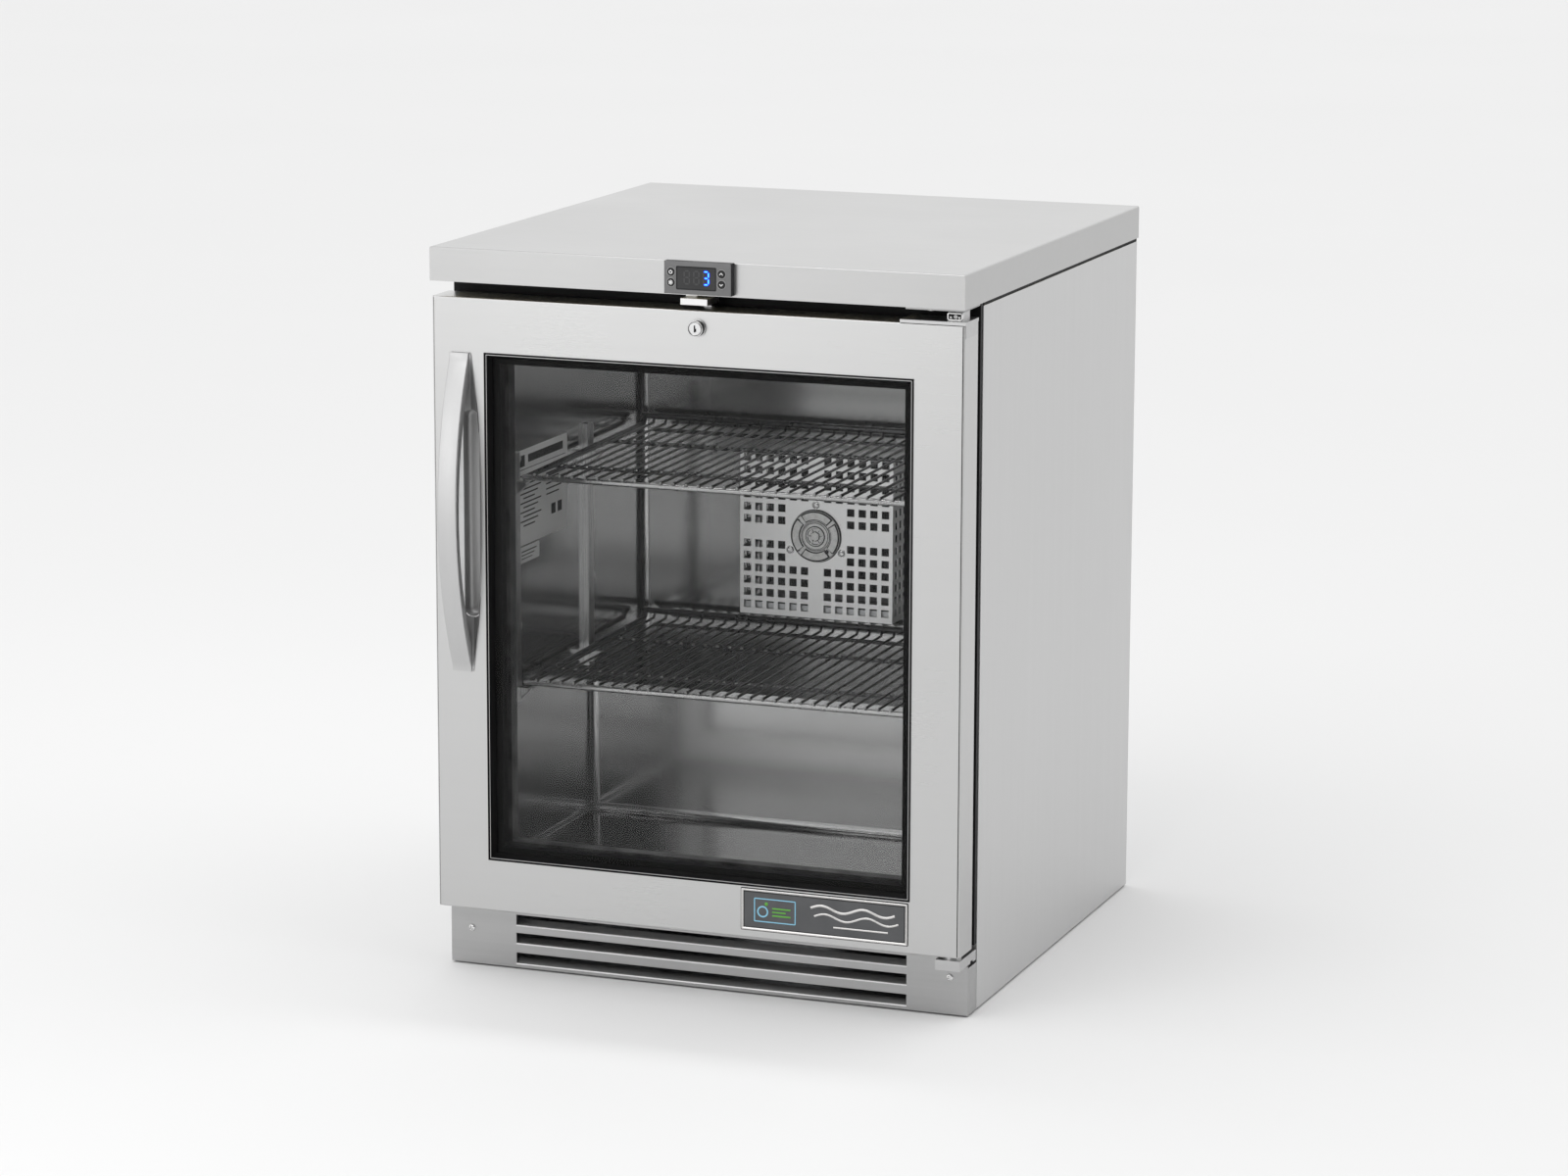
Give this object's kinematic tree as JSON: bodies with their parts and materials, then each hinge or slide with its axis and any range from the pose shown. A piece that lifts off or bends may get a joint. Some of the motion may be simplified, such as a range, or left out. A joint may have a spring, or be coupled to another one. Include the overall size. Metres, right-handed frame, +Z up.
{
  "type": "undercounter refrigerator",
  "caption": "Low undercounter refrigerator: stainless worktop and door frame, glass window, bow handle, louvred kick plate, wire shelves and a small front controller.",
  "frame": {"origin": "on the floor under the middle of the overall box, handle included", "axes": "+Z up; the door faces -Y; +X to the right seen from the front, which is the hinge side"},
  "size_m": [0.61, 0.665, 0.81],
  "materials": {
    "worktop_stainless": "fine brushed, satin",
    "door_stainless": "fine brushed, satin",
    "kick_stainless": "fine brushed, satin",
    "cabinet_side_sheet": "satin, light grey",
    "galvanised_sheet": "galvanised, dull",
    "liner_stainless": "bright rolled, reflective",
    "insulation_foam": "rigid foam, cut",
    "black_plastic": "satin black",
    "gasket_rubber": "black, matte",
    "door_glass": "clear, low iron",
    "spacer_aluminium": "dark anodised",
    "handle_metal": "satin silver grey",
    "badge_metal": "dark grey field in a bright border",
    "bright_steel": "bright plated",
    "bracket_steel": "folded, satin",
    "bush_nylon": "natural nylon",
    "controller_casing": "dark grey, fine grain",
    "display_black": "gloss black window",
    "button_black": "soft gloss black",
    "shelf_wire": "coated wire, satin",
    "plug_grey": "light grey caps",
    "fan_plastic": "black moulded",
    "coil_fins": "thin fins",
    "machine_black": "black enamel",
    "copper_line": "drawn copper",
    "bay_rubber": "black, matte"
  },
  "bodies": {
    "cabinet": {"back_panel": "galvanised_sheet", "base_tray": "galvanised_sheet", "bottom_hinge_bracket": "bracket_steel", "breaker_strips": "black_plastic", "compressor": "machine_black", "compressor_grommets": "bay_rubber", "condensate_pan": "galvanised_sheet", "condenser_coil": "coil_fins", "condenser_fan_motor": "machine_black", "condenser_shroud": "galvanised_sheet", "control_box": "galvanised_sheet", "controller_housing": "controller_casing", "cord_bush": "bay_rubber", "display_lens": "display_black", "drip_tray_and_drain": "coil_fins", "evaporator_coil": "coil_fins", "fan_cover": "liner_stainless", "fan_motor": "fan_plastic", "foam_insulation": "insulation_foam", "inner_casing": "galvanised_sheet", "inner_liner": "liner_stainless", "kick_plate": "kick_stainless", "levelling_feet": "bright_steel", "lock_strike": "bright_steel", "pivot_pin": "bright_steel", "rear_grille": "galvanised_sheet", "refrigerant_lines": "copper_line", "screws": "bright_steel", "shelf_clips": "liner_stainless", "shelf_standards": "liner_stainless", "side_panel_left": "cabinet_side_sheet", "side_panel_right": "cabinet_side_sheet", "top_hinge_plate": "bright_steel", "wall_plugs": "plug_grey", "worktop": "worktop_stainless", "worktop_core": "insulation_foam"},
    "door": {"door_skin": "door_stainless", "door_core": "insulation_foam", "door_inner_frame": "black_plastic", "window_trim": "black_plastic", "glass_outer": "door_glass", "glass_spacer": "spacer_aluminium", "glass_inner": "door_glass", "door_gasket": "gasket_rubber", "handle_cup": "handle_metal", "door_handle": "handle_metal", "badge_plate": "badge_metal", "lock_barrel": "bright_steel", "door_hinge_plate": "bright_steel", "pivot_bush": "bush_nylon"},
    "lock_cylinder": {"lock_plug": "bright_steel"},
    "bolt": {"lock_bolt": "bright_steel"},
    "power_key": {"button_power": "button_black"},
    "light_key": {"button_light": "button_black"},
    "up_key": {"button_up": "button_black"},
    "down_key": {"button_down": "button_black"},
    "evaporator_rotor": {"evaporator_fan": "fan_plastic"},
    "condenser_rotor": {"condenser_fan": "fan_plastic"},
    "rack_upper": {"shelf_upper": "shelf_wire"},
    "rack_lower": {"shelf_lower": "shelf_wire"}
  },
  "joints": [
    {"name": "door_swing", "type": "hinge", "parent": "cabinet", "child": "door", "pos_m": [0.29, -0.2725, 0.415], "axis": [0, 0, 1], "range_deg": [0, 110], "stiffness_Nm_per_rad": 1.2, "springref_deg": -14.32},
    {"name": "lock_turn", "type": "hinge", "parent": "door", "child": "lock_cylinder", "pos_m": [0.0043, -0.2815, 0.7373], "axis": [0, 1, 0], "range_deg": [0, 100]},
    {"name": "bolt_slide", "type": "slide", "parent": "door", "child": "bolt", "axis": [0, 0, 1], "range_m": [0, 0.008]},
    {"name": "press_power", "type": "slide", "parent": "cabinet", "child": "power_key", "axis": [0, 1, 0], "range_m": [0, 0.0008], "stiffness_N_per_m": 400, "springref_m": -0.0004},
    {"name": "press_light", "type": "slide", "parent": "cabinet", "child": "light_key", "axis": [0, 1, 0], "range_m": [0, 0.0008], "stiffness_N_per_m": 400, "springref_m": -0.0004},
    {"name": "press_up", "type": "slide", "parent": "cabinet", "child": "up_key", "axis": [0, 1, 0], "range_m": [0, 0.0008], "stiffness_N_per_m": 400, "springref_m": -0.0004},
    {"name": "press_down", "type": "slide", "parent": "cabinet", "child": "down_key", "axis": [0, 1, 0], "range_m": [0, 0.0008], "stiffness_N_per_m": 400, "springref_m": -0.0004},
    {"name": "evaporator_fan_spin", "type": "hinge", "parent": "cabinet", "child": "evaporator_rotor", "pos_m": [0.001, 0.1235, 0.445], "axis": [0, 1, 0], "continuous": true},
    {"name": "condenser_fan_spin", "type": "hinge", "parent": "cabinet", "child": "condenser_rotor", "pos_m": [0.13, 0.1515, 0.092], "axis": [0, 1, 0], "continuous": true},
    {"name": "shelf_upper_lift", "type": "slide", "parent": "cabinet", "child": "rack_upper", "axis": [0, 0, 1], "range_m": [0, 0.015]},
    {"name": "shelf_lower_lift", "type": "slide", "parent": "cabinet", "child": "rack_lower", "axis": [0, 0, 1], "range_m": [0, 0.015]}
  ],
  "couplings": [
    {"joint": "lock_turn", "follows": "bolt_slide", "rad_per_m": 196.35}
  ]
}
